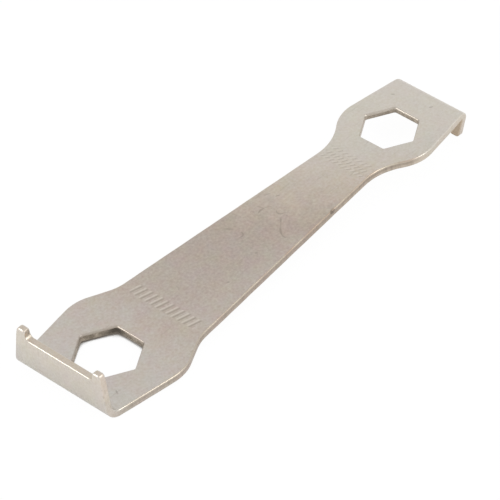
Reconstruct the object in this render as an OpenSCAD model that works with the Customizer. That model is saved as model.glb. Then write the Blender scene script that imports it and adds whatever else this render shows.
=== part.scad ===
// Two-ended peg wrench for chainring bolts: one strip of plated sheet steel, blanked, pierced and bent.
// Frame: X runs along the tool from the wide end to the narrow end, Z is up, the plate's underside is Z = 0.

/* [Sheet] */
// Overall length between the outer faces of the two bends, mm
tool_length = 69.6; // [60:0.1:90]
// Thickness of the steel sheet, mm
sheet_thickness = 1; // [0.8:0.1:1.3]

/* [Wide end] */
// Hexagon hole across flats, mm
wide_hex_flats = 8; // [7:0.1:8.6]
// Hexagon centre to the bend's outer face, mm
wide_hex_setback = 8.1; // [7.4:0.1:9]
// Width across the bend at its outer face, mm
wide_lip_width = 15.3; // [14.5:0.1:16]
// Width where the side and shoulder lines meet, mm
wide_head_width = 19; // [18:0.1:20]
// That widest line to the bend's outer face, mm
wide_head_setback = 11.9; // [11.2:0.1:12.8]
// Rounding of the widest corner, mm
wide_corner_radius = 5.8; // [4:0.1:7]
// Shoulder length along the tool, mm
wide_shoulder_length = 5.2; // [4.6:0.1:6]
// Fillet from shoulder to shank, mm
wide_fillet_radius = 5.8; // [4:0.1:8]
// Inside radius of the upward bend, mm
wide_bend_radius = 1; // [0.6:0.1:1.8]
// Bend angle from the plate, degrees
wide_bend_angle = 91; // [88:1:98]
// Straight lip between the bend and the pegs, mm
wide_lip_length = 3.8; // [2.8:0.1:4.6]
// Distance over the two peg tips, mm
wide_peg_span = 13.8; // [13:0.1:14.6]
// Peg width at the tip, mm
wide_peg_width = 1.3; // [1.1:0.1:2]
// Peg height above the lip, mm
wide_peg_height = 1.3; // [1:0.1:2]

/* [Narrow end] */
// Hexagon hole across flats, mm
narrow_hex_flats = 7; // [5.5:0.1:7.4]
// Hexagon centre to the bend's outer face, mm
narrow_hex_setback = 9; // [8.2:0.1:9.8]
// Width across the bend at its outer face, mm
narrow_lip_width = 10.9; // [10.2:0.1:11.6]
// Width where the side and shoulder lines meet, mm
narrow_head_width = 14.2; // [13.6:0.1:15]
// That widest line to the bend's outer face, mm
narrow_head_setback = 10.8; // [10.3:0.1:11.8]
// Rounding of the widest corner, mm
narrow_corner_radius = 6; // [4:0.1:6.3]
// Shoulder length along the tool, mm
narrow_shoulder_length = 4.7; // [4.5:0.1:5.6]
// Fillet from shoulder to shank, mm
narrow_fillet_radius = 8.4; // [6:0.1:8.6]
// Inside radius of the downward bend, mm
narrow_bend_radius = 0.4; // [0.3:0.1:1]
// Bend angle from the plate, degrees
narrow_bend_angle = 94; // [88:1:98]
// Straight lip between the bend and the pegs, mm
narrow_lip_length = 1.4; // [1:0.1:2]
// Distance over the two peg tips, mm
narrow_peg_span = 9.6; // [9:0.1:10.4]
// Peg width at the tip, mm
narrow_peg_width = 1.4; // [1.1:0.1:2]
// Peg height beyond the lip, mm
narrow_peg_height = 1.6; // [1.2:0.1:2.4]

/* [Shank] */
// Shank width at the wide end's shoulder, mm
shank_wide_width = 13.9; // [12.6:0.1:14.6]
// Shank width at the narrow end's shoulder, mm
shank_narrow_width = 7.6; // [7:0.1:9]

/* [Peg details] */
// Fillet between a peg and the lip, mm
peg_fillet = 0.6; // [0.3:0.1:0.9]
// Rounding of a peg's outer tip corner, mm
peg_corner = 0.4; // [0.2:0.1:0.6]

/* [Hidden] */
$fn = 96;
half_length = tool_length / 2;
reach = tool_length;
root_margin = 1;
// Rounding discs are this much smaller than the stated radius, so that they cross their chamfer
disc_slack = 0.02;
plate_color = [0.72, 0.68, 0.63];
lip_color = [0.78, 0.74, 0.69];
peg_color = [0.84, 0.80, 0.74];

wide_corner_x = wide_head_setback - half_length;
wide_root_corner_x = wide_corner_x + wide_shoulder_length;
narrow_corner_x = half_length - narrow_head_setback;
narrow_root_corner_x = narrow_corner_x - narrow_shoulder_length;

// Corners of the blank's +Y side, from the wide end to the narrow end
wide_end_point = [-half_length, wide_lip_width / 2];
wide_corner_point = [wide_corner_x, wide_head_width / 2];
wide_root_point = [wide_root_corner_x, shank_wide_width / 2];
narrow_root_point = [narrow_root_corner_x, shank_narrow_width / 2];
narrow_corner_point = [narrow_corner_x, narrow_head_width / 2];
narrow_end_point = [half_length, narrow_lip_width / 2];
wide_side_slope = (wide_head_width - wide_lip_width) / 2 / wide_head_setback;
narrow_side_slope = (narrow_head_width - narrow_lip_width) / 2 / narrow_head_setback;

wide_bend_outer = wide_bend_radius + sheet_thickness;
narrow_bend_outer = narrow_bend_radius + sheet_thickness;
wide_plate_end = wide_bend_outer - half_length;
narrow_plate_end = half_length - narrow_bend_outer;

function unit(v) = v / norm(v);
function mirrored(points) = [for (p = points) [p[0], -p[1]]];
function reversed(points) = [for (i = [len(points) - 1:-1:0]) points[i]];
function half_turn(a, b, c) = 90 - acos(unit(a - b) * unit(c - b)) / 2;
function tangent_run(a, b, c, r) = r * tan(half_turn(a, b, c));
function tangent_point(b, toward, run) = b + unit(toward - b) * run;
function bisector(a, b, c) = unit(unit(a - b) + unit(c - b));
function arc_centre(a, b, c, r) = b + bisector(a, b, c) * r / cos(half_turn(a, b, c));

// Both ends of the chamfer that a rounding of radius r starts from
function chamfer(a, b, c, r) = [
    tangent_point(b, a, tangent_run(a, b, c, r)),
    tangent_point(b, c, tangent_run(a, b, c, r))
];

side_points = concat(
    [wide_end_point],
    chamfer(wide_end_point, wide_corner_point, wide_root_point, wide_corner_radius),
    chamfer(wide_corner_point, wide_root_point, narrow_root_point, wide_fillet_radius),
    chamfer(wide_root_point, narrow_root_point, narrow_corner_point, narrow_fillet_radius),
    chamfer(narrow_root_point, narrow_corner_point, narrow_end_point, narrow_corner_radius),
    [narrow_end_point]
);

wide_root_run = tangent_run(wide_corner_point, wide_root_point, narrow_root_point, wide_fillet_radius);
wide_root_x = tangent_point(wide_root_point, narrow_root_point, wide_root_run)[0] + root_margin;
narrow_root_run = tangent_run(wide_root_point, narrow_root_point, narrow_corner_point, narrow_fillet_radius);
narrow_root_x = tangent_point(narrow_root_point, wide_root_point, narrow_root_run)[0] - root_margin;

// Half-width of a lip where it leaves the bend, taken on the inner face of the sheet
function lip_base_half(width, slope, inner, outer, angle) =
    width / 2 + slope * (outer - inner * sin(angle));

wide_base_half = lip_base_half(
    wide_lip_width, wide_side_slope, wide_bend_radius, wide_bend_outer, wide_bend_angle);
narrow_base_half = lip_base_half(
    narrow_lip_width, narrow_side_slope, narrow_bend_radius, narrow_bend_outer, narrow_bend_angle);

// Half-width of a lip at a given distance from the bend
function lip_half(base_half, tip_half, along, full) = base_half + (tip_half - base_half) * along / full;

// Disc that rounds the corner b between its neighbours a and c
module rounding_disc(a, b, c, r) {
    translate(arc_centre(a, b, c, r)) circle(r = r - disc_slack);
}

// The same disc on both sides of the tool
module rounding_disc_pair(a, b, c, r) {
    rounding_disc(a, b, c, r);
    rounding_disc(mirrored([a])[0], mirrored([b])[0], mirrored([c])[0], r);
}

// Outline of the flat blank seen from above, without the holes
module blank_outline() {
    difference() {
        union() {
            polygon(concat(mirrored(side_points), reversed(side_points)));
            rounding_disc_pair(
                wide_end_point, wide_corner_point, wide_root_point, wide_corner_radius);
            rounding_disc_pair(
                narrow_root_point, narrow_corner_point, narrow_end_point, narrow_corner_radius);
        }
        rounding_disc_pair(
            wide_corner_point, wide_root_point, narrow_root_point, wide_fillet_radius);
        rounding_disc_pair(
            wide_root_point, narrow_root_point, narrow_corner_point, narrow_fillet_radius);
    }
}

// Flat stretch of the blank between two stations along the tool
module plate_section(from_x, to_x) {
    intersection() {
        blank_outline();
        translate([from_x, -reach / 2]) square([to_x - from_x, reach]);
    }
}

// Hexagon hole with two flats square to the tool's length
module hex_hole(flats) {
    rotate(90) circle(d = flats / cos(30), $fn = 6);
}

// Everything that stands above or below the blank's outline
module blank_prism() {
    linear_extrude(height = reach, center = true) blank_outline();
}

// Bend cross-section about its own axis, turning from straight down towards -X
module bend_profile(inner, outer, angle) {
    far = 2 * outer;
    intersection() {
        difference() {
            circle(r = outer);
            circle(r = inner);
        }
        polygon([
            [0, 0],
            far * [cos(-90), sin(-90)],
            far * [cos(-90 - angle / 3), sin(-90 - angle / 3)],
            far * [cos(-90 - angle * 2 / 3), sin(-90 - angle * 2 / 3)],
            far * [cos(-90 - angle), sin(-90 - angle)]
        ]);
    }
}

// Places a flat outline, drawn as width by distance from the bend, on the bent-up side
module on_lip(outer, angle) {
    translate([outer - half_length, 0, outer])
        rotate([0, angle, 0])
            translate([0, 0, -outer])
                linear_extrude(height = sheet_thickness)
                    rotate(90) children();
}

// Bend and straight lip of an end that turns up at -X
module bent_lip(inner, outer, angle, base_half, tip_half, lip_length, peg_height) {
    top_half = lip_half(base_half, tip_half, lip_length, lip_length + peg_height);
    translate([outer - half_length, 0, outer])
        rotate([90, 0, 0])
            linear_extrude(height = reach, center = true)
                bend_profile(inner, outer, angle);
    on_lip(outer, angle) polygon([
        [-base_half, 0],
        [base_half, 0],
        [top_half, lip_length],
        [-top_half, lip_length]
    ]);
}

// Outline of the peg on the +Y side
module peg_outline(base_half, tip_half, lip_length, peg_width, peg_height) {
    tip = lip_length + peg_height;
    inner = tip_half - peg_width;
    outer_foot = [lip_half(base_half, tip_half, lip_length, tip), lip_length];
    outer_tip = [tip_half, tip];
    inner_tip = [inner, tip];
    inner_foot = [inner, lip_length];
    lip_middle = [0, lip_length];
    difference() {
        union() {
            polygon(concat(
                [outer_foot],
                chamfer(outer_foot, outer_tip, inner_tip, peg_corner),
                [inner_tip],
                chamfer(inner_tip, inner_foot, lip_middle, peg_fillet)));
            rounding_disc(outer_foot, outer_tip, inner_tip, peg_corner);
        }
        rounding_disc(inner_tip, inner_foot, lip_middle, peg_fillet);
    }
}

// Turns an end that is drawn at the wide end over to the narrow end
module at_narrow_end() {
    translate([0, 0, sheet_thickness]) rotate([0, 180, 0]) children();
}

module wide_bent_peg() {
    on_lip(wide_bend_outer, wide_bend_angle)
        peg_outline(wide_base_half, wide_peg_span / 2, wide_lip_length, wide_peg_width, wide_peg_height);
}

module narrow_bent_peg() {
    at_narrow_end()
        on_lip(narrow_bend_outer, narrow_bend_angle)
            peg_outline(
                narrow_base_half, narrow_peg_span / 2, narrow_lip_length, narrow_peg_width, narrow_peg_height);
}

module shank() {
    color(plate_color)
        linear_extrude(height = sheet_thickness)
            plate_section(wide_root_x, narrow_root_x);
}

module wide_head() {
    color(plate_color)
        linear_extrude(height = sheet_thickness)
            difference() {
                plate_section(wide_plate_end, wide_root_x);
                translate([wide_hex_setback - half_length, 0]) hex_hole(wide_hex_flats);
            }
}

module wide_lip() {
    color(lip_color)
        intersection() {
            blank_prism();
            bent_lip(
                wide_bend_radius, wide_bend_outer, wide_bend_angle,
                wide_base_half, wide_peg_span / 2, wide_lip_length, wide_peg_height);
        }
}

module wide_peg_left() {
    color(peg_color)
        intersection() {
            blank_prism();
            wide_bent_peg();
        }
}

module wide_peg_right() {
    color(peg_color) mirror([0, 1, 0]) wide_peg_left();
}

module narrow_head() {
    color(plate_color)
        linear_extrude(height = sheet_thickness)
            difference() {
                plate_section(narrow_root_x, narrow_plate_end);
                translate([half_length - narrow_hex_setback, 0]) hex_hole(narrow_hex_flats);
            }
}

module narrow_lip() {
    color(lip_color)
        intersection() {
            blank_prism();
            at_narrow_end()
                bent_lip(
                    narrow_bend_radius, narrow_bend_outer, narrow_bend_angle,
                    narrow_base_half, narrow_peg_span / 2, narrow_lip_length, narrow_peg_height);
        }
}

module narrow_peg_left() {
    color(peg_color)
        intersection() {
            blank_prism();
            narrow_bent_peg();
        }
}

module narrow_peg_right() {
    color(peg_color) mirror([0, 1, 0]) narrow_peg_left();
}

shank();
wide_head();
wide_lip();
wide_peg_left();
wide_peg_right();
narrow_head();
narrow_lip();
narrow_peg_left();
narrow_peg_right();
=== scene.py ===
# %% [markdown]
# # A stamped peg wrench in satin nickel plate
# The object is one strip of sheet steel. A press cuts a flat blank, pierces two hexagon holes,
# folds one end up and the other end down, and the strip is then nickel plated.
# It could be modelled in its folded shape at once, but rims and roundings are easier to get right
# on a flat sheet. So this lesson goes the way of the press: it draws the blank, gives its edges
# their rounding, mixes the finishes, and folds the blank with a small Geometry Nodes tree.

# %% Load the measured part
import math

import bmesh
import bpy
import numpy as np
from mathutils import Matrix, Vector
from mathutils.geometry import delaunay_2d_cdt


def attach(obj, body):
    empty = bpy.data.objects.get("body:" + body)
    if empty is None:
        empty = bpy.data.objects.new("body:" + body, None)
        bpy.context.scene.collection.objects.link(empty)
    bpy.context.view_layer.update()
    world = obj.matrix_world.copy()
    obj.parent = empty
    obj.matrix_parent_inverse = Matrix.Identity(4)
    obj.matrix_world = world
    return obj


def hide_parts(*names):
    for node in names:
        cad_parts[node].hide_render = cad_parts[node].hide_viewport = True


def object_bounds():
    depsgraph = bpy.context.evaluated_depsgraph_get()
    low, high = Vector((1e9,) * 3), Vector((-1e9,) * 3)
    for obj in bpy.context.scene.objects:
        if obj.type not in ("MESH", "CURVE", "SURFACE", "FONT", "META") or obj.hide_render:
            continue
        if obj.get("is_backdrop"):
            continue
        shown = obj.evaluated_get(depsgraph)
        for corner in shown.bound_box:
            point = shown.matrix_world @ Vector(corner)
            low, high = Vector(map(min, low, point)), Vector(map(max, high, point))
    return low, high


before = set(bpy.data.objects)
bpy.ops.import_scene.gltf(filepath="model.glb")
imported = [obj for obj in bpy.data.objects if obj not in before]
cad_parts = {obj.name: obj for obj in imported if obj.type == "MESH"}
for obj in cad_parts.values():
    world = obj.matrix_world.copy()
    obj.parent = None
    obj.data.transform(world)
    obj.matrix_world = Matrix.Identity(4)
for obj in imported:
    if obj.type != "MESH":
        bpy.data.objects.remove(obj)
cad_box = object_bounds()
MM = 0.001
NODES = sorted(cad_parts)
print("sections of the stamping:", NODES)

# %% [markdown]
# ## Camera
# A long lens far away keeps the two ends of the tool almost the same size. The camera could be
# moved by eye until the picture fits, but the shape would then have to make up for its errors.
# Its place and its three directions come from the two hexagon holes instead, because a regular
# hexagon seen at an angle tells how the plate is turned.

# %% Camera
CAMERA_PLACE = Vector((-0.25564, -0.25793, 0.33381))
CAMERA_FORWARD = Vector((0.51616, 0.52293, -0.67833)).normalized()
CAMERA_RIGHT = Vector((0.66916, -0.74055, -0.06171))
PHOTO_PIXELS = 500
FOCAL_PIXELS = 3942.57
SENSOR_MM = 36.0

right = (CAMERA_RIGHT - CAMERA_FORWARD * CAMERA_RIGHT.dot(CAMERA_FORWARD)).normalized()
up = right.cross(CAMERA_FORWARD)
turn = Matrix((right, up, -CAMERA_FORWARD)).transposed()

camera_data = bpy.data.cameras.new("photo_camera")
camera_data.sensor_fit = "HORIZONTAL"
camera_data.sensor_width = SENSOR_MM
camera_data.lens = FOCAL_PIXELS / PHOTO_PIXELS * SENSOR_MM
camera_data.clip_start = 0.01
camera_data.clip_end = 20.0
camera = bpy.data.objects.new("photo_camera", camera_data)
camera.matrix_world = Matrix.Translation(CAMERA_PLACE) @ turn.to_4x4()
bpy.context.scene.collection.objects.link(camera)
bpy.context.scene.camera = camera
print("lens", round(camera_data.lens, 1), "mm")

# %% [markdown]
# ## Short calls for nodes
# The floor, the finishes and the folds are all node trees. Every node could be added and linked in
# lines of its own, but then a plain sum fills half a page. A small helper adds a node, sets or
# links its inputs and hands back its output, so that a tree reads like a sum.

# %% Node helper
def socket(group, name, kind, way="INPUT", value=None):
    """A named input or output of a node group."""
    s = group.interface.new_socket(name=name, in_out=way, socket_type=kind)
    if value is not None:
        s.default_value = value
    return s


class Tree:
    """Short calls for adding nodes to one node tree."""

    def __init__(self, tree):
        self.nodes, self.link = tree.nodes, tree.links.new

    def put(self, value, pin):
        """Sets an input to a plain value, or links another node's output to it."""
        if isinstance(value, (int, float, tuple)):
            pin.default_value = value
        else:
            self.link(value, pin)

    def node(self, kind, **settings):
        n = self.nodes.new(kind)
        for name, value in settings.items():
            setattr(n, name, value)
        return n

    def calc(self, op, a, b=0.0, clamp=False):
        n = self.node("ShaderNodeMath", operation=op, use_clamp=clamp)
        self.put(a, n.inputs[0])
        self.put(b, n.inputs[1])
        return n.outputs[0]

    def times(self, first, *others):
        """The product of several values or masks."""
        for other in others:
            first = self.calc("MULTIPLY", first, other)
        return first

    def distance(self, a, b):
        n = self.node("ShaderNodeVectorMath", operation="DISTANCE")
        self.put(a, n.inputs[0])
        self.put(b, n.inputs[1])
        return n.outputs["Value"]

    def band(self, value, low, high, to_low=0.0, to_high=1.0, curve="SMOOTHSTEP"):
        """A ramp from one number to another while a value goes from low to high."""
        n = self.node("ShaderNodeMapRange", interpolation_type=curve)
        for pin, number in zip(("Value", "From Min", "From Max", "To Min", "To Max"),
                               (value, low, high, to_low, to_high)):
            self.put(number, n.inputs[pin])
        return n.outputs["Result"]

    def noise(self, place, scale, detail, rough):
        n = self.node("ShaderNodeTexNoise")
        for pin, value in zip(("Vector", "Scale", "Detail", "Roughness"),
                              (place, scale, detail, rough)):
            self.put(value, n.inputs[pin])
        return n

    def mix(self, share, a, b, way="MIX"):
        n = self.node("ShaderNodeMix", data_type="RGBA", blend_type=way)
        for value, pin in zip((share, a, b), (n.inputs[0], n.inputs[6], n.inputs[7])):
            self.put(value, pin)
        return n.outputs[2]

    def split(self, vector):
        n = self.node("ShaderNodeSeparateXYZ")
        self.link(vector, n.inputs[0])
        return n.outputs

    def attribute(self, name):
        return self.node("ShaderNodeAttribute", attribute_name=name).outputs

    def group(self, tree, **inputs):
        n = self.node("ShaderNodeGroup", node_tree=tree)
        for name, value in inputs.items():
            self.put(value, n.inputs[name.replace("_", " ")])
        return n.outputs


print("node helpers ready")

# %% [markdown]
# ## Floor
# The tool lies on its downward pegs and on the outside of its upward bend, so it leans a little.
# It could be turned until it lies flat, but it shares its frame with the measured part. So the
# tool stays as it is, and the floor leans instead.

# %% Floor
REST_WIDE = Vector((-0.0328, 0.0, 0.0))
REST_NARROW = Vector((0.0343, 0.0, -0.00349))
FLOOR_HALF = 1.5
lean = math.atan2(REST_WIDE.z - REST_NARROW.z, REST_NARROW.x - REST_WIDE.x)
floor_turn = Matrix.Rotation(lean, 4, "Y")

floor_mesh = bpy.data.meshes.new("floor")
floor_corners = [(-FLOOR_HALF, -FLOOR_HALF, 0), (FLOOR_HALF, -FLOOR_HALF, 0),
                 (FLOOR_HALF, FLOOR_HALF, 0), (-FLOOR_HALF, FLOOR_HALF, 0)]
floor_mesh.from_pydata([REST_WIDE + floor_turn @ Vector(c) for c in floor_corners],
                       [], [(0, 1, 2, 3)])
floor = bpy.data.objects.new("floor", floor_mesh)
bpy.context.scene.collection.objects.link(floor)
floor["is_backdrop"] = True
print("the tool leans", round(math.degrees(lean), 2), "degrees")

# %% [markdown]
# ## White sheet
# A product photo washes its white sheet out, so hardly any shadow is left on it. The camera sees
# that white sheet, and so, less strongly, does the metal that mirrors it. More light could do the
# same, but it would wash out the metal too, so the floor's own material tells the rays apart, and
# all other light meets a plain pale floor. Only under the larger hole is a shadow painted into the
# white sheet: a dark line where the metal is close above.

# %% Floor paint
SEEN_WHITE = 1.02
# How much of the white sheet each kind of ray sees
WASHED_OUT = {"Is Camera Ray": 0.94, "Is Glossy Ray": 0.35, "Is Transmission Ray": 0.94}
WHITE, PALE, PAINTED_CONTACT_SHADOW = (1, 1, 1, 1), (0.9, 0.9, 0.9, 1), (0.13, 0.11, 0.09, 1)
# How far up the floor looks for metal, in metres, and the open shares at full painted shadow and at
# none
CONTACT_REACH, CONTACT_OPEN = 0.0015, (0.34, 0.52)
# The painted shadow stays around this place, and fades out between these two distances, in metres
CONTACT_CENTRE, CONTACT_ENDS = (-0.0255, 0.0008, 0.0), (0.0058, 0.0068)


def floor_finish():
    """White to the camera, pale to other light, with a painted shadow close under the larger hole.
    """
    material = bpy.data.materials.new("white_floor")
    material.use_nodes = True
    t = Tree(material.node_tree)
    plain_floor = t.nodes["Principled BSDF"]
    for name, value in (("Base Color", PALE), ("Roughness", 0.9), ("Specular IOR Level", 0.1)):
        plain_floor.inputs[name].default_value = value
    above = t.node("ShaderNodeAmbientOcclusion")
    above.inputs["Distance"].default_value = CONTACT_REACH
    lit = t.band(above.outputs["AO"], *CONTACT_OPEN, curve="LINEAR")
    spot = t.node("ShaderNodeTexCoord").outputs["Object"]
    away = t.band(t.distance(spot, CONTACT_CENTRE), *CONTACT_ENDS, curve="LINEAR")
    sheet = t.node("ShaderNodeEmission")
    sheet.inputs["Strength"].default_value = SEEN_WHITE
    shade = t.mix(t.calc("MAXIMUM", lit, away), PAINTED_CONTACT_SHADOW, WHITE)
    t.link(shade, sheet.inputs["Color"])
    ray, seen = t.node("ShaderNodeLightPath").outputs, 0.0
    for kind, share in WASHED_OUT.items():
        seen = t.calc("ADD", seen, t.calc("MULTIPLY", ray[kind], share))
    blend = t.node("ShaderNodeMixShader")
    for value, pin in zip((seen, plain_floor.outputs[0], sheet.outputs[0]), blend.inputs):
        t.link(value, pin)
    t.link(blend.outputs[0], t.nodes["Material Output"].inputs["Surface"])
    return material


floor_mesh.materials.append(floor_finish())
print("floor paint:", floor_mesh.materials[0].name)

# %% [markdown]
# ## Light
# A metal shows what stands around it. A picture of a whole studio could stand around the tool, but
# satin metal shows little of it: a pale room gives the faces their even sheen, and two soft panels
# draw the thin bright lines along the rims. Where those lines appear in the photo, and where they
# don't, tells where the panels stood: one behind on the left, one in front on the right.

# %% Light
ROOM_LEVEL = 0.80
PANEL_AWAY = 1.2
# Direction seen from the tool, size in metres and brightness of each panel
PANELS = {"panel_behind_left": ((-0.68, 0.52, 0.52), 0.50, 4.2),
          "panel_front_right": ((0.32, -0.74, 0.60), 0.42, 5.2)}

world = bpy.data.worlds.new("pale_room")
world.use_nodes = True
bpy.context.scene.world = world
room = world.node_tree.nodes["Background"]
room.inputs["Color"].default_value = WHITE
room.inputs["Strength"].default_value = ROOM_LEVEL


def soft_panel(name, direction, size, radiance):
    """A square soft light that faces the tool, with an even brightness."""
    data = bpy.data.lights.new(name, "AREA")
    data.shape = "SQUARE"
    data.size = size
    data.energy = radiance * math.pi * size * size
    lamp = bpy.data.objects.new(name, data)
    place = Vector(direction).normalized() * PANEL_AWAY
    facing = (-place).to_track_quat("-Z", "Y").to_matrix().to_4x4()
    lamp.matrix_world = Matrix.Translation(place) @ facing
    bpy.context.scene.collection.objects.link(lamp)


for panel, values in PANELS.items():
    soft_panel(panel, *values)
bpy.context.scene.view_settings.view_transform = "Standard"

# %% [markdown]
# ## The flat blank
# Before it is folded, the tool is a flat plate with a wider head at each end. Boxes and cylinders
# could be joined with Booleans, but those leave ragged triangles at every rounding. A list of
# points is easy to draw and stays even: straight lines with a rounding at each corner. Past each
# fold line the outline goes on along the sheet.
# The sizes repeat those of the measured part, in millimetres.

# %% Sizes
THICK = 1.0
HALF_LENGTH = 34.8
WIDE = dict(hex=8.0, hex_x=-26.7, inside=1.0, angle=91.0, lip=3.8,
            peg=1.3, peg_width=1.3, tip_half=6.9, tip_wear=1.0, fold_half=7.961)
NARROW = dict(hex=7.0, hex_x=25.8, inside=0.4, angle=94.0, lip=1.4,
              peg=1.6, peg_width=1.4, tip_half=4.8, tip_wear=0.4, fold_half=5.664)
for end in (WIDE, NARROW):
    end["outside"] = end["inside"] + THICK
    end["fold"] = HALF_LENGTH - end["outside"]
    end["arc"] = (end["inside"] + THICK / 2) * math.radians(end["angle"])
    end["lip_at"] = end["fold"] + end["arc"] + end["lip"]
    end["tip_at"] = end["lip_at"] + end["peg"]
    end["peg_inner"] = end["tip_half"] - end["peg_width"]
PEG_FILLET, PEG_OUTER_ROUND, PEG_INNER_ROUND = 0.6, 0.46, 0.42
# Corners of the heads and of the shank: x, y and rounding
WIDE_CORNER, WIDE_ROOT = (-22.9, 9.485, 6.1), (-17.7, 6.95, 5.8)
NARROW_ROOT, NARROW_CORNER = (19.3, 3.8, 8.4), (24.0, 7.1, 6.0)
print("flat length", round(WIDE["tip_at"] + NARROW["tip_at"], 2), "mm")

# %% Outline
STEP = 0.22
ARC_STEP = math.radians(7.5)


def rounded_path(corners):
    """Points along straight lines whose corners (x, y, radius) are rounded."""
    path = [np.array(corners[0][:2], float)]
    for before, here, after in zip(corners, corners[1:], corners[2:]):
        b, radius = np.array(here[:2], float), here[2]
        to_a, to_c = np.array(before[:2]) - b, np.array(after[:2]) - b
        to_a, to_c = to_a / np.linalg.norm(to_a), to_c / np.linalg.norm(to_c)
        if radius == 0:
            path.append(b)
            continue
        half = math.acos(np.clip(to_a @ to_c, -1, 1)) / 2
        middle = (to_a + to_c) / np.linalg.norm(to_a + to_c)
        centre = b + middle * radius / math.sin(half)
        run = radius / math.tan(half)
        start, stop = b + to_a * run, b + to_c * run
        a0 = math.atan2(*(start - centre)[::-1])
        sweep = (math.atan2(*(stop - centre)[::-1]) - a0 + math.pi) % (2 * math.pi) - math.pi
        count = max(2, math.ceil(max(abs(sweep) / ARC_STEP, abs(sweep) * radius / STEP)))
        for k in range(count + 1):
            a = a0 + sweep * k / count
            path.append(centre + radius * np.array((math.cos(a), math.sin(a))))
    path.append(np.array(corners[-1][:2], float))
    return path


def even_steps(path):
    """The same path with no gap longer than the step."""
    fine = []
    for a, b in zip(path, path[1:]):
        count = max(1, math.ceil(np.linalg.norm(b - a) / STEP))
        fine += [a + (b - a) * k / count for k in range(count)]
    return fine + [path[-1]]


def one_side():
    """The +Y side of the blank, from the wide lip's middle to the narrow lip's middle."""
    w, n = WIDE, NARROW
    return rounded_path([
        (-w["lip_at"], 0, 0),
        (-w["lip_at"], w["peg_inner"], PEG_FILLET),
        (-w["tip_at"], w["peg_inner"], PEG_INNER_ROUND),
        (-w["tip_at"], w["tip_half"], PEG_OUTER_ROUND),
        (-w["fold"], w["fold_half"], 0),
        WIDE_CORNER, WIDE_ROOT, NARROW_ROOT, NARROW_CORNER,
        (n["fold"], n["fold_half"], 0),
        (n["tip_at"], n["tip_half"], PEG_OUTER_ROUND),
        (n["tip_at"], n["peg_inner"], PEG_INNER_ROUND),
        (n["lip_at"], n["peg_inner"], PEG_FILLET),
        (n["lip_at"], 0, 0),
    ])


side = even_steps(one_side())
mirror_side = [p * (1, -1) for p in side[1:-1]]
outline = np.array(mirror_side + side[::-1][:1] + side[1:-1][::-1] + side[:1])
print("outline points", len(outline))

# %% [markdown]
# ## Holes
# A hexagon hole in each head fits over a hexagon nut. A six-sided cylinder could cut it out, but no
# punch is quite sharp, so the corners of a real hole are a little round. Each hole is therefore a
# loop of points with rounded corners, like the outline, and the sheet is filled in between later.

# %% Hexagon holes
HEX_ROUND = 0.36


def hexagon(flats, centre_x):
    """A hole outline with two flats square to the tool, listed clockwise."""
    reach = flats / 2 / math.cos(math.radians(30))
    turns = [math.radians(90 - 60 * k) for k in range(6)]
    corners = [(centre_x + reach * math.cos(a), reach * math.sin(a), HEX_ROUND) for a in turns]
    first = ((corners[0][0] + corners[1][0]) / 2, (corners[0][1] + corners[1][1]) / 2, 0)
    closed = even_steps(rounded_path([first] + corners[1:] + corners[:1] + [first]))
    return np.array(closed[:-1])


def area(loop):
    """The area inside a loop, below zero if it is listed clockwise."""
    x, y = loop[:, 0], loop[:, 1]
    return 0.5 * float(np.sum(x * np.roll(y, -1) - y * np.roll(x, -1)))


wide_hole = hexagon(WIDE["hex"], WIDE["hex_x"])
narrow_hole = hexagon(NARROW["hex"], NARROW["hex_x"])
print("loop areas", [round(area(loop), 1) for loop in (outline, wide_hole, narrow_hole)])

# %% [markdown]
# ## Edges
# A punched edge is not a sharp corner. The punch drags the rim in a little, and tumbling and
# plating round it further, so every rim gets a small rounded band, then a plain sheared wall.
# A Bevel modifier could round the rims, but with one radius everywhere, and here it changes from
# place to place. So each loop is copied inwards in rings, each point with a radius of its own.
# The rings carry two numbers that the material reads later:
# roll, for the rim (a little smoother; above zero outside with a small painted highlight, below
# zero in the holes with painted shade), and wall, for the sheared band (1 in the holes, a half
# outside).

# %% Rings
HOLD, ROLL_STEPS = 0.05, 5
WALL_RINGS = range(ROLL_STEPS + 1, ROLL_STEPS + 4)
HOLE_WALL, OUTER_WALL = 1.0, 0.5
# Rim radius on the plate, along the lips' tops and at the peg tips, above and below
RIM_TOP, RIM_UNDER = (0.125, 0.15, 0.30), (0.06, 0.18, 0.30)
# Rim radius of the holes above, how much it swings around the hole, and where it is largest
HOLE_RIM, HOLE_SWING, PUNCH_SIDE = 0.16, 0.10, math.radians(60)
# Below, the larger hole has a small rounding and the smaller one a straight break
WIDE_UNDER, NARROW_UNDER = 0.05, 0.22


def outer_roll(loop, plain, lip, tip):
    """Rim radius along the outer loop: small and uneven on the plate, larger on lips and tips."""
    x, y = loop.T
    worn = 1 + 0.3 * np.sin(1.1 * x) * np.sin(0.37 * x + 1)
    plain = plain * worn * (1 - 0.4 * np.clip(y / 2, -1, 1))
    radius = plain
    for end, way in ((WIDE, -1), (NARROW, 1)):
        past = x * way - end["lip_at"]
        on_top = np.clip((end["peg_inner"] - abs(y)) / PEG_FILLET, 0, 1) * (past > -0.2)
        at_tip = np.clip(past / end["peg"], 0, 1) ** 2 * end["tip_wear"]
        more = np.maximum((lip - plain) * on_top, (tip - plain) * at_tip)
        radius = np.maximum(radius, plain + more)
    return radius


def hole_roll(loop):
    """Rim radius of a hole: the punch was a little off centre, so one side is dragged in more."""
    x, y = (loop - loop.mean(axis=0)).T
    return HOLE_RIM + HOLE_SWING * np.cos(np.arctan2(y, x) - PUNCH_SIDE)


def inset(loop, distance):
    """The loop moved into the metal by a distance."""
    ahead = np.roll(loop, -1, axis=0) - loop
    ahead /= np.linalg.norm(ahead, axis=1)[:, None]
    behind = np.roll(ahead, 1, axis=0)
    n0, n1 = (np.stack([-t[:, 1], t[:, 0]], axis=1) for t in (behind, ahead))
    away = (n0 + n1) / (1 + np.sum(n0 * n1, axis=1))[:, None]
    return loop + away * np.broadcast_to(distance, len(loop))[:, None]


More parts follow.
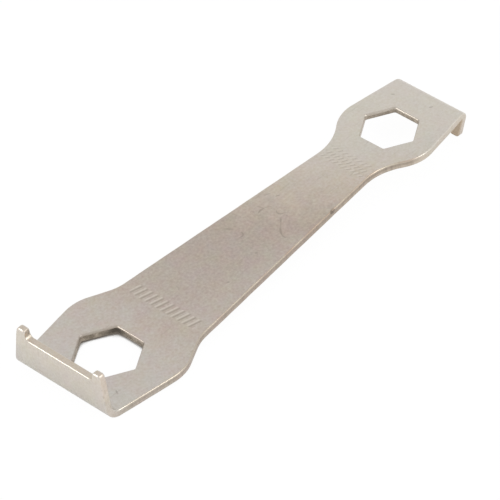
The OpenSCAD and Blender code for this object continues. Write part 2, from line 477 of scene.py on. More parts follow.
def rings(loop, top, under, broken=False):
    """Points, heights and roll of each ring from the top face down, rounded or broken off below."""
    quarter = [math.pi / 2 * k / ROLL_STEPS for k in range(ROLL_STEPS + 1)]
    found = [(inset(loop, top + HOLD), THICK + 0 * top, 0.0)]
    for a in quarter:
        height = THICK - top * (1 - math.cos(a))
        found.append((inset(loop, top * (1 - math.sin(a))), height, math.sin(2 * a)))
    found.append((loop, THICK * 0.5 + 0 * top, 0.0))
    for k, a in enumerate(quarter):
        out, low = (k / ROLL_STEPS,) * 2 if broken else (1 - math.cos(a), math.sin(a))
        roll = 0.0 if broken else math.sin(2 * a)
        found.append((inset(loop, under * out), under * (1 - low), roll))
    found.append((inset(loop, under + HOLD), 0 * under, 0.0))
    return found


def even(loop, radius):
    """One radius all along a loop."""
    return np.full(len(loop), radius)


rim_rings = [
    rings(outline, outer_roll(outline, *RIM_TOP), outer_roll(outline, *RIM_UNDER)),
    rings(wide_hole, hole_roll(wide_hole), even(wide_hole, WIDE_UNDER)),
    rings(narrow_hole, hole_roll(narrow_hole), even(narrow_hole, NARROW_UNDER), broken=True),
]
print("rings at each rim:", len(rim_rings[0]))

# %% [markdown]
# ## Grip ticks
# Faint rows of plain ticks are pressed into both necks. They are all alike and mean nothing.
# A material could draw them alone, but a pressed mark is a shape, so the mesh gets it too. A row is
# cut into cells, and each cell holds one slanted trough. Three loops of points are laid around it:
# one keeps the face beside it flat, one is its rim and one its floor. The press later sinks it.

# %% Ticks
TICK_DEPTH, TICK_HOLD, TICK_SLANT = 0.05, 0.04, 0.3
# Rim and floor of a tick: half width in pitches, half height in half heights of the row
TICK_RIM, TICK_FLOOR = (0.24, 1.0), (0.08, 0.8)
ROW_EDGE, LIT_BESIDE = 0.2, 0.3
ROW_SIZES = ("Row X", "Half Tall", "Half Long", "Pitch")
# Place along the tool, half height, half length, pitch, painted shade and painted highlight of each
# row
ROWS = [(-16.4, 1.0, 5.4, 0.9, 0.65, 0.5),
        (16.6, 0.3, 3.5, 0.72, 0.35, 0.6),
        (17.5, 0.35, 3.5, 0.66, 0.4, 0.5),
        (18.6, 0.3, 3.4, 0.8, 0.3, 0.5)]


def tick_mask(t, x, y, entry, beside=0.0, unit=1.0):
    """A row of slanted ticks as a mask: 1 on their floors, nothing from their rims outwards."""
    high = t.calc("DIVIDE", t.calc("SUBTRACT", x, entry["Row X"]), entry["Half Tall"])
    along = t.calc("ADD", t.calc("DIVIDE", y, entry["Pitch"]), t.calc("MULTIPLY", high, TICK_SLANT))
    off = t.calc("SUBTRACT", t.calc("FRACT", along), 0.5 + beside)
    wide = t.band(t.calc("ABSOLUTE", off), TICK_RIM[0], TICK_FLOOR[0])
    tall = t.band(t.calc("ABSOLUTE", high), TICK_RIM[1], TICK_FLOOR[1])
    past_end = t.calc("SUBTRACT", t.calc("ABSOLUTE", y), entry["Half Long"])
    return t.times(wide, tall, t.band(past_end, ROW_EDGE * unit, -ROW_EDGE * unit))


def tick_loop(row, middle, half_wide, half_tall):
    """Points around one tick, slanted and with its corners cut."""
    row_x, row_tall, _, pitch = row
    cut = half_wide / 2
    corners = [(-half_tall, -cut), (cut - half_tall, -half_wide)]
    corners += [(-x, y) for x, y in corners[::-1]]
    corners += [(-x, -y) for x, y in corners]
    slant = TICK_SLANT * pitch / row_tall
    points = [np.array((row_x + x, middle + y - slant * x)) for x, y in corners]
    return np.array(even_steps(points + points[:1])[:-1])


def tick_loops():
    """The three loops of every tick: around it, at its rim and at its floor."""
    found = []
    for *row, _, _ in ROWS:
        _, row_tall, half_long, pitch = row
        each_side = math.floor(half_long / pitch + 0.5)
        for n in range(-each_side, each_side):
            for (wide, tall), more in ((TICK_RIM, TICK_HOLD), (TICK_RIM, 0.0), (TICK_FLOOR, 0.0)):
                found.append(tick_loop(row, pitch * (n + 0.5),
                                       wide * pitch + more, tall * row_tall + more))
    return found


ticks = tick_loops()
print("ticks:", len(ticks) // 3)

# %% [markdown]
# ## Filling the sheet
# The two flat faces close the blank between its rims. One large polygon could do that on a plate
# that stays flat, but a face can only bend where it has points, and these ends are folded. So loose
# points are laid inside, closer together across the folds, and a Delaunay fill joins them all.

# %% Points inside the sheet
FACE_STEP, FOLD_STEP, CLEAR, GRID_HALF = 0.8, 0.2, 0.16, 10.0


def inside(points, loop):
    """Even-odd test of many points against a loop."""
    x, y = points[:, :1], points[:, 1:]
    a, b = loop, np.roll(loop, -1, axis=0)
    crosses = (a[:, 1] > y) != (b[:, 1] > y)
    rise = np.where(b[:, 1] == a[:, 1], 1e-12, b[:, 1] - a[:, 1])
    left_of = x < a[:, 0] + (y - a[:, 1]) * (b[:, 0] - a[:, 0]) / rise
    return (np.sum(crosses & left_of, axis=1) % 2).astype(bool)


def in_metal(points, rims):
    """Whether points lie inside the outline and outside both holes."""
    return inside(points, rims[0]) & ~inside(points, rims[1]) & ~inside(points, rims[2])


def sheet_points(rims, loops):
    """A loose grid of points on a flat face, closer together across the folds."""
    rows = list(np.arange(-WIDE["fold"], NARROW["fold"], FACE_STEP))
    rows += list(np.arange(-WIDE["tip_at"], -WIDE["fold"], FOLD_STEP))
    rows += list(np.arange(NARROW["fold"], NARROW["tip_at"], FOLD_STEP))
    grid = []
    for k, x in enumerate(sorted(rows)):
        shift = 0.25 * FACE_STEP * (1 if k % 2 else -1)
        grid += [(x, y + shift) for y in np.arange(-GRID_HALF, GRID_HALF, FACE_STEP)]
    grid = np.array(grid)
    grid = grid[in_metal(grid, rims)]
    for loop in loops:
        grid = grid[~inside(grid, loop)]
    rim_points = np.concatenate(rims + loops)
    gap = np.min(np.linalg.norm(grid[:, None] - rim_points[None], axis=2), axis=1)
    return grid[gap > CLEAR]


print("points", FACE_STEP, "mm apart on the faces,", FOLD_STEP, "mm across the folds")

# %% Blank mesh
def flat_face(rims, loops, grid):
    """Triangles that fill a face between its rims, with edges along all the loops."""
    points, edges = [], []
    for loop in rims + loops:
        first = len(points)
        points += [Vector(p) for p in loop]
        edges += [(first + k, first + (k + 1) % len(loop)) for k in range(len(loop))]
    points += [Vector(p) for p in grid]
    found, _, triangles, *_ = delaunay_2d_cdt(points, edges, [], 0, 1e-7)
    assert len(found) == len(points)
    flat = np.array([tuple(p) for p in found])
    tri = np.array(triangles)
    return tri[in_metal(flat[tri].mean(axis=1), rims)]


def blank_mesh():
    """The whole flat blank as one closed mesh, in metres."""
    bm = bmesh.new()
    roll_layer = bm.verts.layers.float.new("roll")
    wall_layer = bm.verts.layers.float.new("wall")
    place_layer = bm.verts.layers.float_vector.new("place")

    def add(x, y, z, roll=0.0, wall=0.0):
        v = bm.verts.new((x * MM, y * MM, z * MM))
        v[roll_layer], v[wall_layer], v[place_layer] = roll, wall, Vector((x, y, z))
        return v

    ring_verts = []
    for number, found in enumerate(rim_rings):
        band, shine = (HOLE_WALL, -1.0) if number else (OUTER_WALL, 1.0)
        ring_verts.append([[add(x, y, z, roll * shine, band if k in WALL_RINGS else 0.0)
                            for (x, y), z in zip(points, heights)]
                           for k, (points, heights, roll) in enumerate(found)])
    for ring in ring_verts:
        for upper, lower in zip(ring, ring[1:]):
            count = len(upper)
            for k in range(count):
                after = (k + 1) % count
                bm.faces.new((upper[k], lower[k], lower[after], upper[after]))
    for index, z, loops in ((0, THICK, ticks), (-1, 0.0, [])):
        rims = [found[index][0] for found in rim_rings]
        grid = sheet_points(rims, loops)
        verts = [v for ring in ring_verts for v in ring[index]]
        verts += [add(x, y, z) for points in loops + [grid] for x, y in points]
        for a, b, c in flat_face(rims, loops, grid):
            bm.faces.new((verts[a], verts[b], verts[c]))
    bmesh.ops.recalc_face_normals(bm, faces=bm.faces)
    for face in bm.faces:
        face.smooth = True
    loose = sum(1 for e in bm.edges if len(e.link_faces) != 2)
    mesh = bpy.data.meshes.new("flat_blank")
    bm.to_mesh(mesh)
    bm.free()
    print("blank:", len(mesh.vertices), "points,", len(mesh.polygons), "faces,",
          loose, "open edges")
    return mesh


blank = bpy.data.objects.new("peg_wrench", blank_mesh())
bpy.context.scene.collection.objects.link(blank)

# %% [markdown]
# ## Plating
# Nickel plate on a tumbled stamping is a warm grey metal with a soft sheen. It is never even:
# the tone and the tint drift in blotches, a fine grain lies over them, and there are short handling
# scratches and pits. A picture of metal could be wrapped around the tool, but it would stretch at
# the rims and blur close up. One node group makes this wear from a place on the flat blank, so that
# the pattern runs around the folds with the sheet. Both finishes use it, with their own amounts.

# %% Wear group
# Angle in degrees, scale across and along, and the noise level where a scratch begins
SCRATCH_LAYS = ((8, 3.4, 0.16, 0.66), (63, 2.6, 0.2, 0.68), (-38, 3.0, 0.18, 0.68))


def pit_mask(t, place, share):
    """Round pits in a share of the cells of a cell pattern."""
    spot = t.node("ShaderNodeTexVoronoi")
    t.put(0.5, spot.inputs["Scale"])
    t.link(place, spot.inputs["Vector"])
    pick = t.node("ShaderNodeSeparateColor")
    t.link(spot.outputs["Color"], pick.inputs[0])
    chosen = t.calc("LESS_THAN", pick.outputs[0], share)
    return t.calc("MULTIPLY", chosen, t.band(spot.outputs["Distance"], 0.10, 0.03))


def scratch_mask(t, place):
    """Noise drawn out along three directions, cut off so that only thin streaks are left."""
    scratches = 0.0
    for angle, across, along, cut in SCRATCH_LAYS:
        lay = t.node("ShaderNodeMapping")
        t.link(place, lay.inputs["Vector"])
        t.put((0, 0, math.radians(angle)), lay.inputs["Rotation"])
        t.put((along, across, across), lay.inputs["Scale"])
        streak = t.noise(lay.outputs[0], 1.0, 2.0, 0.6).outputs[0]
        scratches = t.calc("MAXIMUM", scratches, t.band(streak, cut, cut + 0.06))
    return scratches


def wear_group():
    """Tone, tint, grain, pits, scratches and height of worn plating at a place in millimetres."""
    g = bpy.data.node_groups.new("plating_wear", "ShaderNodeTree")
    socket(g, "Place", "NodeSocketVector")
    for name, value in (("Blotch Scale", 0.4), ("Grain Scale", 2.6), ("Pit Share", 0.1)):
        socket(g, name, "NodeSocketFloat", value=value)
    socket(g, "Tint", "NodeSocketColor", "OUTPUT")
    for name in ("Tone", "Grain", "Pits", "Scratches", "Height"):
        socket(g, name, "NodeSocketFloat", "OUTPUT")
    t = Tree(g)
    entry, leave = t.node("NodeGroupInput").outputs, t.node("NodeGroupOutput").inputs
    place = entry["Place"]
    blotch = t.noise(place, entry["Blotch Scale"], 3.0, 0.6).outputs
    grain = t.noise(place, entry["Grain Scale"], 2.0, 0.6).outputs
    pits, scratches = pit_mask(t, place, entry["Pit Share"]), scratch_mask(t, place)
    dents = t.calc("ADD", pits, t.calc("MULTIPLY", scratches, 0.25))
    grain_height = t.calc("MULTIPLY", t.calc("SUBTRACT", grain[0], 0.5), 0.35)
    height = t.calc("SUBTRACT", grain_height, dents)
    for name, value in (("Tint", blotch[1]), ("Grain", grain[0]), ("Tone", blotch[0]),
                        ("Pits", pits), ("Scratches", scratches), ("Height", height)):
        t.link(value, leave[name])
    return g


wear = wear_group()
print("wear group:", [s.name for s in wear.interface.items_tree])

# %% Streak group
STREAK_SCALE = (2.2, 2.2, 0.25)


def streak_group():
    """A mask of streaks across the sheet, the way the punch went."""
    g = bpy.data.node_groups.new("shear_streaks", "ShaderNodeTree")
    socket(g, "Place", "NodeSocketVector")
    socket(g, "Mask", "NodeSocketFloat", "OUTPUT")
    t = Tree(g)
    lay = t.node("ShaderNodeMapping")
    t.link(t.node("NodeGroupInput").outputs["Place"], lay.inputs["Vector"])
    t.put(STREAK_SCALE, lay.inputs["Scale"])
    mask = t.band(t.noise(lay.outputs[0], 1.0, 2.0, 0.65).outputs[0], 0.4, 0.7)
    t.link(mask, t.node("NodeGroupOutput").inputs["Mask"])
    return g


streaks = streak_group()
print("streak group:", streaks.name)

# %% [markdown]
# ## Marks of use
# A hand tool in a pocket collects a few deep scratches in the middle of the grip. They could be
# painted on a picture, but a painted line is only as sharp as its pixels. Each one is a short arc
# that thins out at both ends. Three points give its circle, and a node group draws it.

# %% Arc group
def arc_group():
    """A mask of one curved scratch: thick in its middle, nothing at its ends."""
    g = bpy.data.node_groups.new("arc_scratch", "ShaderNodeTree")
    for name in ("Place", "Centre", "Middle"):
        socket(g, name, "NodeSocketVector")
    for name in ("Radius", "Half Long", "Half Width"):
        socket(g, name, "NodeSocketFloat")
    socket(g, "Mask", "NodeSocketFloat", "OUTPUT")
    t = Tree(g)
    entry, leave = t.node("NodeGroupInput").outputs, t.node("NodeGroupOutput").inputs
    to_centre, to_middle = (t.distance(entry["Place"], entry[n]) for n in ("Centre", "Middle"))
    off = t.calc("ABSOLUTE", t.calc("SUBTRACT", to_centre, entry["Radius"]))
    share = t.calc("DIVIDE", to_middle, entry["Half Long"])
    taper = t.calc("SUBTRACT", 1.0, t.calc("MULTIPLY", share, share), clamp=True)
    width = t.calc("ADD", t.calc("MULTIPLY", entry["Half Width"], taper), 0.001)
    t.link(t.calc("SUBTRACT", 1.0, t.calc("DIVIDE", off, width), clamp=True), leave["Mask"])
    return g


def arc_through(a, b, c):
    """Centre, radius and half length of the arc through three points."""
    a, b, c = (np.array(p, float) for p in (a, b, c))
    centre = np.linalg.solve(2 * np.array([b - a, c - a]), [b @ b - a @ a, c @ c - a @ a])
    half_long = max(np.linalg.norm(b - a), np.linalg.norm(b - c))
    return centre, float(np.linalg.norm(a - centre)), float(half_long)


def draw_marks(t, place, marks, z):
    """The darkest of several marks at a place on the face at height z."""
    found = 0.0
    for *points, half_width, darkness in marks:
        centre, radius, half_long = arc_through(*points)
        arc = t.group(arc_scratch, Place=place, Centre=(*centre, z), Middle=(*points[1], z),
                      Radius=radius, Half_Long=half_long, Half_Width=half_width)["Mask"]
        found = t.calc("MAXIMUM", found, t.calc("MULTIPLY", arc, darkness))
    return found


arc_scratch = arc_group()
print("arc group:", arc_scratch.name)

# %% Marks
# Three points, a half width and a darkness for each mark, in millimetres on the blank
MARKS = [
    ((4.15, 3.44), (4.32, 2.89), (4.39, 2.44), 0.18, 0.35),
    ((4.5, 2.40), (3.9, 2.52), (3.3, 2.36), 0.26, 0.54),
    ((4.39, 2.44), (4.9, 2.25), (5.29, 1.87), 0.16, 0.32),
    ((5.05, 0.9), (4.85, 0.3), (5.4, -0.16), 0.22, 0.48),
    ((5.0, -0.02), (5.35, -0.12), (5.7, -0.34), 0.16, 0.30),
    ((5.32, -0.62), (5.22, -0.75), (5.17, -0.92), 0.16, 0.35),
    ((4.45, -0.42), (4.1, -0.70), (3.75, -1.02), 0.20, 0.50),
    ((3.9, -0.92), (3.5, -1.24), (3.0, -1.68), 0.14, 0.30),
    ((3.1, -1.52), (2.54, -2.07), (2.08, -2.8), 0.26, 0.50),
    ((2.14, -2.6), (2.05, -3.0), (2.08, -3.45), 0.22, 0.42),
    ((6.95, 2.75), (7.3, 2.66), (7.6, 2.48), 0.20, 0.48),
    ((6.2, 4.03), (6.65, 3.86), (7.1, 3.60), 0.20, 0.32),
    ((-1.55, 3.8), (-1.21, 3.36), (-0.85, 2.8), 0.20, 0.48),
    ((-0.65, 1.85), (-0.88, 1.19), (-1.6, 1.28), 0.22, 0.50),
    ((0.08, 0.22), (0.17, 0.13), (0.22, 0.0), 0.18, 0.35),
    ((0.88, 1.58), (0.96, 1.5), (1.0, 1.38), 0.18, 0.30),
    ((-2.5, -2.2), (-2.3, -2.35), (-2.15, -2.5), 0.18, 0.60),
    ((-8.6, -3.0), (-8.4, -3.15), (-8.25, -3.3), 0.20, 0.55),
    ((31.0, 4.2), (31.15, 3.95), (31.4, 3.75), 0.16, 0.55),
    ((32.0, -1.4), (32.25, -1.6), (32.5, -1.7), 0.22, 0.50),
    ((-30.8, -5.25), (-31.0, -5.6), (-31.2, -6.0), 0.22, 0.45),
    ((8.95, -4.72), (9.55, -4.68), (10.2, -4.74), 0.52, 1.00),
    ((-12.9, 1.5), (-13.0, 1.0), (-13.3, 0.6), 0.20, 0.25),
    ((-0.35, 3.2), (-0.29, 3.09), (-0.25, 2.95), 0.18, 0.40),
]
# The same on the underside, which the fold turns into the front of the wide lip
LIP_MARKS = [
    ((-37.4, -7.27), (-37.2, -7.32), (-37.0, -7.33), 0.22, 0.50),
    ((-36.6, -7.4), (-36.2, -7.44), (-35.8, -7.5), 0.14, 0.25),
    ((-38.45, -7.1), (-38.3, -7.13), (-38.15, -7.15), 0.16, 0.25),
]
print("marks of use:", len(MARKS) + len(LIP_MARKS))

# %% [markdown]
# ## Colour of the ticks
# Painted shade darkens the pressed ticks, and a painted highlight lights the wall beside each one.
# The colours could be stored on the points of the mesh, but those are far apart beside a tick. The
# same rule that presses the ticks gives the two masks, so colour and shape stay together.

# %% Tick group
def tick_group():
    """Masks of the painted shade in a row of ticks and of the painted highlight on the wall of
    each.
    """
    g = bpy.data.node_groups.new("pressed_row", "ShaderNodeTree")
    socket(g, "Place", "NodeSocketVector")
    for name in ROW_SIZES:
        socket(g, name, "NodeSocketFloat")
    for name in ("Mask", "Lit"):
        socket(g, name, "NodeSocketFloat", "OUTPUT")
    t = Tree(g)
    entry, leave = t.node("NodeGroupInput").outputs, t.node("NodeGroupOutput").inputs
    x, y, _ = t.split(entry["Place"])
    t.link(tick_mask(t, x, y, entry), leave["Mask"])
    t.link(tick_mask(t, x, y, entry, beside=LIT_BESIDE), leave["Lit"])
    return g


def draw_rows(t, place):
    """Masks of all the rows: painted shade in the ticks and a painted highlight on their walls."""
    dark, lit = 0.0, 0.0
    for row_x, half_tall, half_long, pitch, darkness, light in ROWS:
        row = t.group(pressed_row, Place=place, Row_X=row_x, Half_Tall=half_tall,
                      Half_Long=half_long, Pitch=pitch)
        dark = t.calc("MAXIMUM", dark, t.calc("MULTIPLY", row["Mask"], darkness))
        lit = t.calc("MAXIMUM", lit, t.calc("MULTIPLY", row["Lit"], light))
    return dark, lit


pressed_row = tick_group()
print("tick group:", pressed_row.name, "for", len(ROWS), "rows")

# %% [markdown]
# ## Plate finish
# The faces are darker and browner in the middle of the grip than at the ends: a painted reflection
# of the room's uneven light along the flat faces. One even grey with some noise could not show that
# drift. A colour ramp along the blank gives it with few numbers, and the blotches push it to and
# fro.
# On top come the tint, the grain, painted light on the near side, the sheared outer walls, the
# rolled rims, the ticks and the marks.

# %% Plate colours
# Distance along the blank in millimetres, and the colour of the plating there, with painted
# reflection
PAINTED_REFLECTION_TONES = [
    (-42, (0.72, 0.658, 0.58)), (-38.5, (0.72, 0.658, 0.58)), (-36, (0.675, 0.632, 0.567)),
    (-33.5, (0.66, 0.628, 0.575)), (-30, (0.66, 0.61, 0.56)), (-22, (0.635, 0.567, 0.508)),
    (-18, (0.60, 0.525, 0.46)), (-14, (0.575, 0.50, 0.44)), (-5, (0.545, 0.47, 0.415)),
    (3, (0.545, 0.465, 0.40)), (10, (0.645, 0.565, 0.48)), (16, (0.69, 0.62, 0.54)),
    (21, (0.705, 0.66, 0.59)), (28, (0.73, 0.68, 0.605)), (42, (0.75, 0.70, 0.64)),
]
RAMP_HALF = 42.0
# A dull colour for scratches, sheared bands and painted shade, and the colour of painted highlights
DULL_AND_SHADE, PAINTED_HIGHLIGHT = (0.42, 0.365, 0.305, 1), (0.80, 0.74, 0.66, 1)
FOLD_SHADE_BROWN, PIT, STAIN = (0.52, 0.405, 0.28, 1), (0.20, 0.168, 0.135, 1), (0.50, 0.38, 0.30, 1)
CREAM, WARM = (0.54, 0.465, 0.36, 1), (0.95, 0.915, 0.88, 1)
# Stretches along the blank in millimetres: nothing at the first number, all at the second
PAST_WIDE_BEND, BEFORE_NARROW_HEAD = (-34.0, -31.0), (25.0, 22.0)
SHEAR_ENDS, SHEAR_GROWS, STAIN_BEGINS = (24.5, 22.5), (10.0, 16.0), (-18.0, -10.0)
# Painted light on the near side: across the tool, then where it begins and ends along the blank
PAINTED_LIGHT_SIDE, PAINTED_LIGHT_BEGINS, PAINTED_LIGHT_ENDS = (-1.0, -5.0), (-20.0, -14.0), (6.0, 2.0)
NARROW_FOLD, FOLD_INSIDE = (30.0, 34.0), (0.3, 0.05)
LIP_TOP, BETWEEN_PEGS = (-39.1, -39.5), (5.9, 5.7)
print("tones along the grip:", len(PAINTED_REFLECTION_TONES))

# %% Layers of the plate finish
def painted_reflection_ramp(t, x, y, tone):
    """Painted reflection: a ramp along the blank, slanted on its narrow half, pushed about by the
    blotches.
    """
    ramp = t.node("ShaderNodeValToRGB")
    stops = ramp.color_ramp.elements
    while len(stops) < len(PAINTED_REFLECTION_TONES):
        stops.new(0.5)
    for stop, (at, colour) in zip(stops, PAINTED_REFLECTION_TONES):
        stop.position, stop.color = (at + RAMP_HALF) / (2 * RAMP_HALF), (*colour, 1)
    push = t.calc("MULTIPLY", t.calc("SUBTRACT", tone, 0.5), 0.12)
    slant = t.calc("MULTIPLY", y, t.band(x, -10.0, 0.0, 0.0, 0.8))
    along = t.calc("ADD", t.calc("ADD", x, slant), RAMP_HALF)
    along = t.calc("DIVIDE", along, 2 * RAMP_HALF)
    t.link(t.calc("ADD", along, push), ramp.inputs[0])
    return ramp.outputs[0]


def face_layers(t, x, y, w):
    """The flat faces: painted reflection ramp, painted light on the near side, tint, grain, fine
    scratches.
    """
    colour = painted_reflection_ramp(t, x, y, w["Tone"])
    painted_side_light = t.times(t.band(y, *PAINTED_LIGHT_SIDE), t.band(x, *PAINTED_LIGHT_BEGINS),
                        t.band(x, *PAINTED_LIGHT_ENDS))
    colour = t.mix(t.calc("MULTIPLY", painted_side_light, 0.12), colour, PAINTED_HIGHLIGHT)
    colour = t.mix(0.08, colour, w["Tint"], "OVERLAY")
    colour = t.mix(0.27, colour, w["Grain"], "OVERLAY")
    return t.mix(t.calc("MULTIPLY", w["Scratches"], 0.22), colour, DULL_AND_SHADE)


def wall_layers(t, colour, place, wall):
    """The outer walls: painted shade in brown inside the narrow fold, burnished and torn by the
    shear.
    """
    x, y, z = t.split(place)
    on_wall = t.calc("MULTIPLY", wall, 1 / OUTER_WALL)
    # Painted shade, tinted brown, on the inside of the narrow fold
    fold_shade = t.times(t.band(z, *FOLD_INSIDE), t.band(x, *NARROW_FOLD), 0.78)
    colour = t.mix(fold_shade, colour, FOLD_SHADE_BROWN)
    sheared = t.times(on_wall, t.band(x, *PAST_WIDE_BEND), t.band(x, *SHEAR_ENDS),
                      t.band(x, *SHEAR_GROWS, 0.55, 0.85))
    burnish = t.calc("MULTIPLY", t.band(z, 0.9, 0.74), t.band(z, 0.3, 0.6, 0.3, 1.0))
    colour = t.mix(t.calc("MULTIPLY", sheared, burnish), colour, DULL_AND_SHADE)
    torn = t.group(streaks, Place=place)["Mask"]
    colour = t.mix(t.times(sheared, torn, 0.35), colour, PIT)
    colour = t.mix(on_wall, colour, WARM, "MULTIPLY")
    lip_top = t.calc("MULTIPLY", t.band(x, *LIP_TOP), t.band(t.calc("ABSOLUTE", y), *BETWEEN_PEGS))
    return t.mix(t.times(lip_top, wall, 1.6), colour, DULL_AND_SHADE)


def painted_light_hole_side(t, x, y):
    """A mask of one side of the smaller hole, whose wall gets painted light and whose rim no
    painted shade.
    """
    return t.times(t.band(x, 10.0, 15.0), t.band(x, 26.0, 25.4), t.band(y, 1.5, 2.1))


def rim_layers(t, colour, place, roll):
    """The rolled rims: a small painted highlight, cream and stained along the plate, painted shade
    around the holes.
    """
    x, y, _ = t.split(place)
    on_plate = t.calc("MULTIPLY", t.band(x, *PAST_WIDE_BEND), t.band(x, *BEFORE_NARROW_HEAD))
    blots = t.band(t.noise(place, 0.3, 2.0, 0.6).outputs[0], 0.42, 0.6)
    stain = t.times(blots, t.band(x, *STAIN_BEGINS), t.band(x, *BEFORE_NARROW_HEAD))
    outer = lambda share: t.calc("MULTIPLY", roll, share, clamp=True)
    # A small painted highlight on the outer rims
    colour = t.mix(outer(0.12), colour, PAINTED_HIGHLIGHT)
    colour = t.mix(t.calc("MULTIPLY", outer(0.75), on_plate), colour, CREAM)
    colour = t.mix(t.calc("MULTIPLY", outer(0.8), stain), colour, STAIN)
    # Painted shade on the rims of the holes, except on the one side of the smaller hole painted
    # light
    hole_rim_shade = t.calc("MULTIPLY", roll, -0.7, clamp=True)
    rim_shade_share = t.calc("SUBTRACT", 1.0, painted_light_hole_side(t, x, y))
    return t.mix(t.calc("MULTIPLY", hole_rim_shade, rim_shade_share), colour, DULL_AND_SHADE)


print("layers: faces, walls, rims")

# %% Plate finish
TOP_SIDE = 0.45


def finish(name):
    """A metal material, its tree helper and the inputs of its shader."""
    material = bpy.data.materials.new(name)
    material.use_nodes = True
    shader = material.node_tree.nodes["Principled BSDF"]
    shader.inputs["Metallic"].default_value = 1.0
    return material, Tree(material.node_tree), shader.inputs


def bump(t, height, strength, distance, pin):
    """A height in steps of a distance in metres, as a normal."""
    n = t.node("ShaderNodeBump")
    for name, value in (("Strength", strength), ("Distance", distance), ("Height", height)):
        t.put(value, n.inputs[name])
    t.link(n.outputs["Normal"], pin)


def plate_finish():
    """Satin nickel on the faces, the rims and the outer walls."""
    material, t, shader = finish("satin_nickel")
    place = t.attribute("place")["Vector"]
    roll, wall = (t.attribute(name)["Fac"] for name in ("roll", "wall"))
    x, y, z = t.split(place)
    w = t.group(wear, Place=place, Blotch_Scale=0.45, Grain_Scale=2.8, Pit_Share=0.05)
    on_top = t.calc("GREATER_THAN", z, TOP_SIDE)
    marks = t.calc("MULTIPLY", draw_marks(t, place, MARKS, THICK), on_top)
    lip_marks = t.times(draw_marks(t, place, LIP_MARKS, 0.0), t.calc("SUBTRACT", 1.0, on_top))
    marks = t.times(t.calc("MAXIMUM", marks, lip_marks), t.band(w["Grain"], 0.3, 0.6, 0.45, 1.0))
    row, tick_highlight = (t.calc("MULTIPLY", mask, on_top) for mask in draw_rows(t, place))

    colour = face_layers(t, x, y, w)
    colour = wall_layers(t, colour, place, wall)
    colour = rim_layers(t, colour, place, roll)
    # Painted highlight beside each tick, then painted shade in the ticks
    colour = t.mix(tick_highlight, colour, PAINTED_HIGHLIGHT)
    colour = t.mix(row, colour, DULL_AND_SHADE)
    pitted = t.calc("MAXIMUM", t.calc("MULTIPLY", w["Pits"], 0.6), marks)
    t.link(t.mix(pitted, colour, PIT), shader["Base Color"])

    rim = t.calc("ABSOLUTE", roll)
    sheen = t.band(w["Tone"], 0.3, 0.7, 0.34, 0.42)
    t.link(t.calc("SUBTRACT", sheen, t.calc("MULTIPLY", rim, 0.03)), shader["Roughness"])
    worn = t.calc("MULTIPLY", w["Height"], t.calc("SUBTRACT", 1.0, rim))
    bump(t, t.calc("SUBTRACT", worn, marks), 0.4, 0.05 * MM, shader["Normal"])
    return material


satin_nickel = plate_finish()
print("plate finish:", satin_nickel.name, len(satin_nickel.node_tree.nodes), "nodes")

# %% [markdown]
# ## Hole walls
# The sheared walls of the two hexagons are darker and rougher, with streaks that run the way the
# punch went; the darkness is partly their own and partly painted shade, deepest in the larger hole,
# with a painted shadow in one corner of each. The plate finish could mix this in by a mask, but it
# is large already, so the walls get a plainer material of their own, made from the same two groups.

# %% Hole finish
# Sheared steel, its darkness partly painted shade
SHEAR_LIGHT, SHEAR_DARK = (0.53, 0.46, 0.38, 1), (0.27, 0.23, 0.18, 1)
LESS_SHADED_WALL, PAINTED_LIGHT_WALL = (0.57, 0.50, 0.42, 1), (0.78, 0.72, 0.66, 1)
PAINTED_CORNER_SHADE = (0.07, 0.058, 0.045, 1)
# Place of the painted shadow in each hole's corner, how far it reaches in millimetres, and its
# share
SHADED_CORNERS = [((-22.9, 2.4, 0.5), 2.2, 0.85), ((28.0, 2.75, 0.5), 2.2, 0.25)]


def painted_corner_shade(t, place):
    """A mask of the painted shadow in one corner of each hole."""
    found = 0.0
    for corner, reach, share in SHADED_CORNERS:
        patch = t.band(t.distance(place, corner), reach, 0.3, 0.0, share)
        found = t.calc("MAXIMUM", found, patch)
    return found


def hole_finish():
    """Sheared steel in the two hexagon holes, its darkness partly painted shade."""
    material, t, shader = finish("sheared_edge")
    place = t.attribute("place")["Vector"]
    x, y, _ = t.split(place)
    w = t.group(wear, Place=place, Blotch_Scale=1.2, Grain_Scale=7.0, Pit_Share=0.15)
    torn = t.group(streaks, Place=place)["Mask"]
    colour = t.mix(t.band(w["Tone"], 0.3, 0.75), SHEAR_LIGHT, SHEAR_DARK)
    # The smaller hole, higher above the floor, gets less painted shade
    colour = t.mix(t.band(x, -5.0, 5.0, 0.0, 0.8), colour, LESS_SHADED_WALL)
    colour = t.mix(t.calc("MULTIPLY", torn, 0.4), colour, SHEAR_DARK)
    # Painted light on one side of the smaller hole
    colour = t.mix(t.calc("MULTIPLY", painted_light_hole_side(t, x, y), 0.85), colour, PAINTED_LIGHT_WALL)
    colour = t.mix(painted_corner_shade(t, place), colour, PAINTED_CORNER_SHADE)
    colour = t.mix(0.3, colour, w["Grain"], "OVERLAY")
    t.link(t.mix(t.calc("MULTIPLY", w["Pits"], 0.6), colour, PIT), shader["Base Color"])
    t.link(t.band(w["Tone"], 0.3, 0.7, 0.45, 0.6), shader["Roughness"])
    bump(t, w["Height"], 0.5, 0.06 * MM, shader["Normal"])
    return material


sheared_edge = hole_finish()
print("hole finish:", sheared_edge.name)

# %% [markdown]
# ## Pressing
# The ticks are struck while the blank is still flat. Each one could be modelled by hand, but they
# repeat by a rule, and a rule is quick to change. So a Geometry Nodes group sinks every point of
# the top face by the tick mask, and it is used once for each row.

